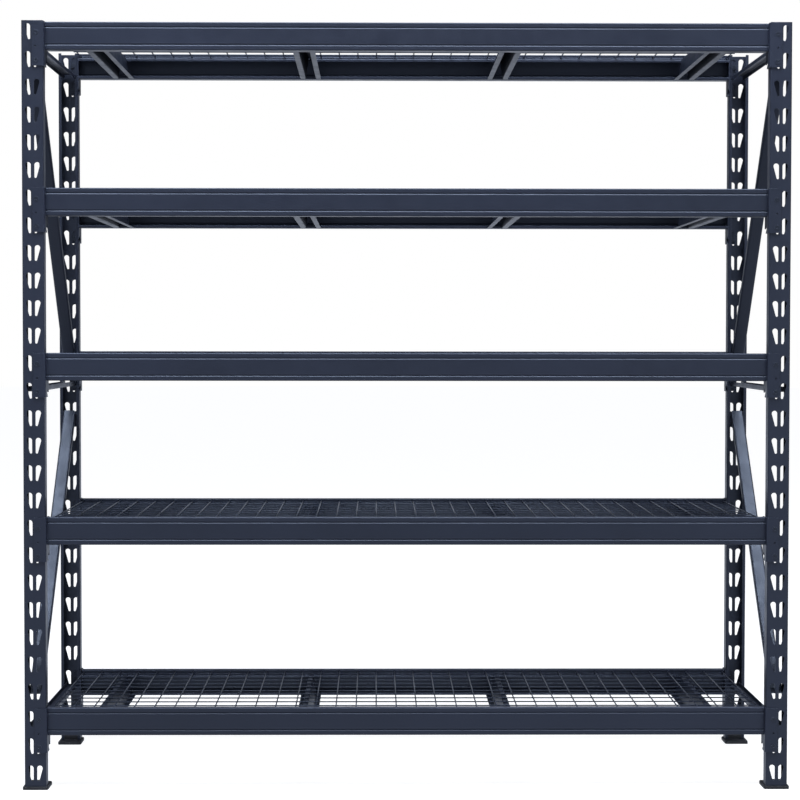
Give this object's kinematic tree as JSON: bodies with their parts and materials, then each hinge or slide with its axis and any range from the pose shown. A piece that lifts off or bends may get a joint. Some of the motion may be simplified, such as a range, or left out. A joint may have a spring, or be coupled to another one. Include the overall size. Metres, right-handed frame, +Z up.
{
  "type": "boltless steel shelving",
  "caption": "Boltless steel shelving rack: keyhole-slotted posts, stepped beams hooked in by riveted brackets, channel deck supports and lift-off welded wire decks.",
  "frame": {"origin": "on the floor, at the middle of the footprint of the four feet", "axes": "+X along the beams to the right as seen from the front, +Y from the front to the rear, +Z up the posts"},
  "size_m": [1.966, 0.62, 1.96],
  "materials": {
    "post_steel": "satin dark blue-grey powder coat",
    "beam_steel": "satin dark blue-grey powder coat",
    "support_steel": "satin dark blue-grey powder coat",
    "deck_wire": "satin dark blue-grey powder coat",
    "rivet_steel": "painted over, slightly glossier and worn",
    "foot_plastic": "moulded black, fine grain"
  },
  "bodies": {
    "end_frames": {"post_front_left": "post_steel", "post_front_right": "post_steel", "post_rear_left": "post_steel", "post_rear_right": "post_steel", "foot_front_left": "foot_plastic", "foot_front_right": "foot_plastic", "foot_rear_left": "foot_plastic", "foot_rear_right": "foot_plastic", "tie_left_low": "post_steel", "tie_left_mid": "post_steel", "tie_left_top": "post_steel", "tie_right_low": "post_steel", "tie_right_mid": "post_steel", "tie_right_top": "post_steel", "brace_left_low": "post_steel", "brace_left_high": "post_steel", "brace_right_low": "post_steel", "brace_right_high": "post_steel"},
    "shelf_1": {"beam_front_1": "beam_steel", "beam_rear_1": "beam_steel", "brackets_1": "beam_steel", "rivets_1": "rivet_steel", "supports_1": "support_steel"},
    "deck_1": {"wire_deck_1": "deck_wire"},
    "shelf_2": {"beam_front_2": "beam_steel", "beam_rear_2": "beam_steel", "brackets_2": "beam_steel", "rivets_2": "rivet_steel", "supports_2": "support_steel"},
    "deck_2": {"wire_deck_2": "deck_wire"},
    "shelf_3": {"beam_front_3": "beam_steel", "beam_rear_3": "beam_steel", "brackets_3": "beam_steel", "rivets_3": "rivet_steel", "supports_3": "support_steel"},
    "deck_3": {"wire_deck_3": "deck_wire"},
    "shelf_4": {"beam_front_4": "beam_steel", "beam_rear_4": "beam_steel", "brackets_4": "beam_steel", "rivets_4": "rivet_steel", "supports_4": "support_steel"},
    "deck_4": {"wire_deck_4": "deck_wire"},
    "shelf_5": {"beam_front_5": "beam_steel", "beam_rear_5": "beam_steel", "brackets_5": "beam_steel", "rivets_5": "rivet_steel", "supports_5": "support_steel"},
    "deck_5": {"wire_deck_5": "deck_wire"}
  },
  "joints": [
    {"name": "shelf_1_unhook", "type": "slide", "parent": "end_frames", "child": "shelf_1", "axis": [0, 0, 1], "range_m": [0, 0.015]},
    {"name": "deck_1_lift", "type": "slide", "parent": "shelf_1", "child": "deck_1", "axis": [0, 0, 1], "range_m": [0, 0.3]},
    {"name": "shelf_2_unhook", "type": "slide", "parent": "end_frames", "child": "shelf_2", "axis": [0, 0, 1], "range_m": [0, 0.015]},
    {"name": "deck_2_lift", "type": "slide", "parent": "shelf_2", "child": "deck_2", "axis": [0, 0, 1], "range_m": [0, 0.3]},
    {"name": "shelf_3_unhook", "type": "slide", "parent": "end_frames", "child": "shelf_3", "axis": [0, 0, 1], "range_m": [0, 0.015]},
    {"name": "deck_3_lift", "type": "slide", "parent": "shelf_3", "child": "deck_3", "axis": [0, 0, 1], "range_m": [0, 0.3]},
    {"name": "shelf_4_unhook", "type": "slide", "parent": "end_frames", "child": "shelf_4", "axis": [0, 0, 1], "range_m": [0, 0.015]},
    {"name": "deck_4_lift", "type": "slide", "parent": "shelf_4", "child": "deck_4", "axis": [0, 0, 1], "range_m": [0, 0.3]},
    {"name": "shelf_5_unhook", "type": "slide", "parent": "end_frames", "child": "shelf_5", "axis": [0, 0, 1], "range_m": [0, 0.015]},
    {"name": "deck_5_lift", "type": "slide", "parent": "shelf_5", "child": "deck_5", "axis": [0, 0, 1], "range_m": [0, 0.3]}
  ]
}
